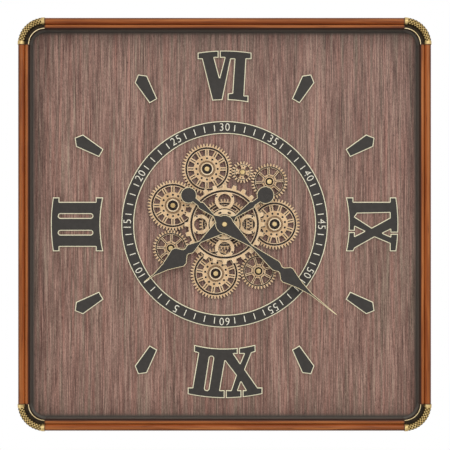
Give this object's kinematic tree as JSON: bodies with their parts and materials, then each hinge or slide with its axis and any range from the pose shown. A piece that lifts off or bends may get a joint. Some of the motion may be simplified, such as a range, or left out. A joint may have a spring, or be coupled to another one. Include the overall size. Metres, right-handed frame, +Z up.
{
  "type": "wooden gear wall clock",
  "caption": "Square wall clock with a moulded wood frame, brass corners, raised hour plates, a minute ring, two hands and a train of gears that turns in the middle of the dial.",
  "frame": {"origin": "on the axis of the hands, in the middle of the clock's depth", "axes": "+X to the right seen from the front, +Y into the wall, +Z up to the twelve"},
  "size_m": [0.6, 0.0624, 0.6],
  "materials": {
    "rail_wood": "stained and varnished moulding",
    "corner_brass": "antique brass casting, dark in its hollows",
    "board_wood": "satin veneer with upright grain",
    "batten_wood": "bare softwood",
    "dial_plate": "charcoal paint with cream-gold edges on thin board",
    "gear_wood": "gilt plywood with burnt edges",
    "hub_gilt": "gilt plywood",
    "post_brass": "turned brass",
    "hand_metal": "charcoal paint with pale gold edges",
    "zinc_steel": "zinc plated",
    "bumper_rubber": "soft matt",
    "movement_plastic": "fine moulded texture",
    "drive_plastic": "fine moulded texture",
    "wheel_plastic": "natural moulding",
    "motor_can": "drawn steel can",
    "coil_copper": "lacquered winding",
    "circuit_laminate": "solder mask",
    "cell_wrap": "plain printed wrap"
  },
  "bodies": {
    "clock": {"batten_screws": "zinc_steel", "board_battens": "batten_wood", "case_gasket": "bumper_rubber", "centre_bush": "post_brass", "circuit_board": "circuit_laminate", "corner_bottom_left": "corner_brass", "corner_bottom_right": "corner_brass", "corner_dowels": "batten_wood", "corner_top_left": "corner_brass", "corner_top_right": "corner_brass", "dial_board": "board_wood", "drive_cells": "cell_wrap", "drive_contacts": "zinc_steel", "drive_cover": "drive_plastic", "drive_housing": "drive_plastic", "drive_motor": "motor_can", "gear_posts": "post_brass", "hanger_plate": "zinc_steel", "hanging_batten": "batten_wood", "hour_batons": "dial_plate", "minute_ring": "dial_plate", "movement_case": "movement_plastic", "movement_cell": "cell_wrap", "movement_contacts": "zinc_steel", "movement_cover": "movement_plastic", "numeral_nine": "dial_plate", "numeral_six": "dial_plate", "numeral_three": "dial_plate", "numeral_twelve": "dial_plate", "post_nuts": "zinc_steel", "rail_bottom": "rail_wood", "rail_left": "rail_wood", "rail_right": "rail_wood", "rail_top": "rail_wood", "short_screws": "zinc_steel", "stem_nut": "post_brass", "stem_washer": "post_brass", "stepper_coil": "coil_copper", "wall_bumpers": "bumper_rubber"},
    "centre_wheel": {"centre_gear": "gear_wood", "front_wheel": "gear_wood", "centre_hub": "hub_gilt"},
    "drive_gear": {"drive_gear": "gear_wood", "drive_shaft": "post_brass"},
    "lower_left_gear": {"lower_left_gear": "gear_wood"},
    "small_gear": {"small_gear": "gear_wood"},
    "lower_gear": {"lower_gear": "gear_wood"},
    "right_gear": {"right_gear": "gear_wood"},
    "upper_right_gear": {"upper_right_gear": "gear_wood"},
    "upper_gear": {"upper_gear": "gear_wood"},
    "upper_left_gear": {"upper_left_gear": "gear_wood"},
    "reduction_gear": {"reduction_gear": "wheel_plastic"},
    "motor_rotor": {"motor_pinion": "wheel_plastic"},
    "minute": {"minute_hand": "hand_metal", "minute_arbor": "wheel_plastic", "hand_nut": "post_brass"},
    "hour": {"hour_hand": "hand_metal", "hour_wheel": "wheel_plastic"},
    "setting": {"motion_wheel": "wheel_plastic", "set_knob": "movement_plastic"}
  },
  "joints": [
    {"name": "centre_wheel_turn", "type": "hinge", "parent": "clock", "child": "centre_wheel", "pos_m": [0, -0.00495, 0], "axis": [0, 1, 0], "continuous": true},
    {"name": "drive_gear_turn", "type": "hinge", "parent": "clock", "child": "drive_gear", "pos_m": [-0.0732, -0.00495, -0.00026], "axis": [0, 1, 0], "continuous": true},
    {"name": "lower_left_gear_turn", "type": "hinge", "parent": "clock", "child": "lower_left_gear", "pos_m": [-0.06556, -0.00495, -0.06249], "axis": [0, 1, 0], "continuous": true},
    {"name": "small_gear_turn", "type": "hinge", "parent": "clock", "child": "small_gear", "pos_m": [-0.02625, -0.00495, -0.07641], "axis": [0, 1, 0], "continuous": true},
    {"name": "lower_gear_turn", "type": "hinge", "parent": "clock", "child": "lower_gear", "pos_m": [0.02574, -0.00495, -0.08114], "axis": [0, 1, 0], "continuous": true},
    {"name": "right_gear_turn", "type": "hinge", "parent": "clock", "child": "right_gear", "pos_m": [0.07566, -0.00495, -0.0276], "axis": [0, 1, 0], "continuous": true},
    {"name": "upper_right_gear_turn", "type": "hinge", "parent": "clock", "child": "upper_right_gear", "pos_m": [0.07872, -0.00495, 0.03502], "axis": [0, 1, 0], "continuous": true},
    {"name": "upper_gear_turn", "type": "hinge", "parent": "clock", "child": "upper_gear", "pos_m": [0.01296, -0.00495, 0.07204], "axis": [0, 1, 0], "continuous": true},
    {"name": "upper_left_gear_turn", "type": "hinge", "parent": "clock", "child": "upper_left_gear", "pos_m": [-0.04963, -0.00495, 0.06843], "axis": [0, 1, 0], "continuous": true},
    {"name": "reduction_gear_turn", "type": "hinge", "parent": "clock", "child": "reduction_gear", "pos_m": [-0.0732, -0.00495, -0.01546], "axis": [0, 1, 0], "continuous": true},
    {"name": "motor_rotor_turn", "type": "hinge", "parent": "clock", "child": "motor_rotor", "pos_m": [-0.0732, -0.00495, -0.02766], "axis": [0, 1, 0], "continuous": true},
    {"name": "minute_turn", "type": "hinge", "parent": "clock", "child": "minute", "pos_m": [0, -0.00495, 0], "axis": [0, 1, 0], "continuous": true},
    {"name": "hour_turn", "type": "hinge", "parent": "clock", "child": "hour", "pos_m": [0, -0.00495, 0], "axis": [0, 1, 0], "continuous": true},
    {"name": "setting_turn", "type": "hinge", "parent": "clock", "child": "setting", "pos_m": [0, -0.00495, 0.0102], "axis": [0, 1, 0], "continuous": true}
  ],
  "couplings": [
    {"joint": "drive_gear_turn", "follows": "centre_wheel_turn", "ratio": -1},
    {"joint": "lower_left_gear_turn", "follows": "centre_wheel_turn", "ratio": 1.4118},
    {"joint": "small_gear_turn", "follows": "centre_wheel_turn", "ratio": -2.4},
    {"joint": "lower_gear_turn", "follows": "centre_wheel_turn", "ratio": 1},
    {"joint": "right_gear_turn", "follows": "centre_wheel_turn", "ratio": -1},
    {"joint": "upper_right_gear_turn", "follows": "centre_wheel_turn", "ratio": 1.4118},
    {"joint": "upper_gear_turn", "follows": "centre_wheel_turn", "ratio": -1},
    {"joint": "upper_left_gear_turn", "follows": "centre_wheel_turn", "ratio": 1.4118},
    {"joint": "reduction_gear_turn", "follows": "centre_wheel_turn", "ratio": 4},
    {"joint": "motor_rotor_turn", "follows": "centre_wheel_turn", "ratio": -12},
    {"joint": "hour_turn", "follows": "minute_turn", "ratio": 0.083333},
    {"joint": "setting_turn", "follows": "minute_turn", "ratio": -0.33333}
  ]
}
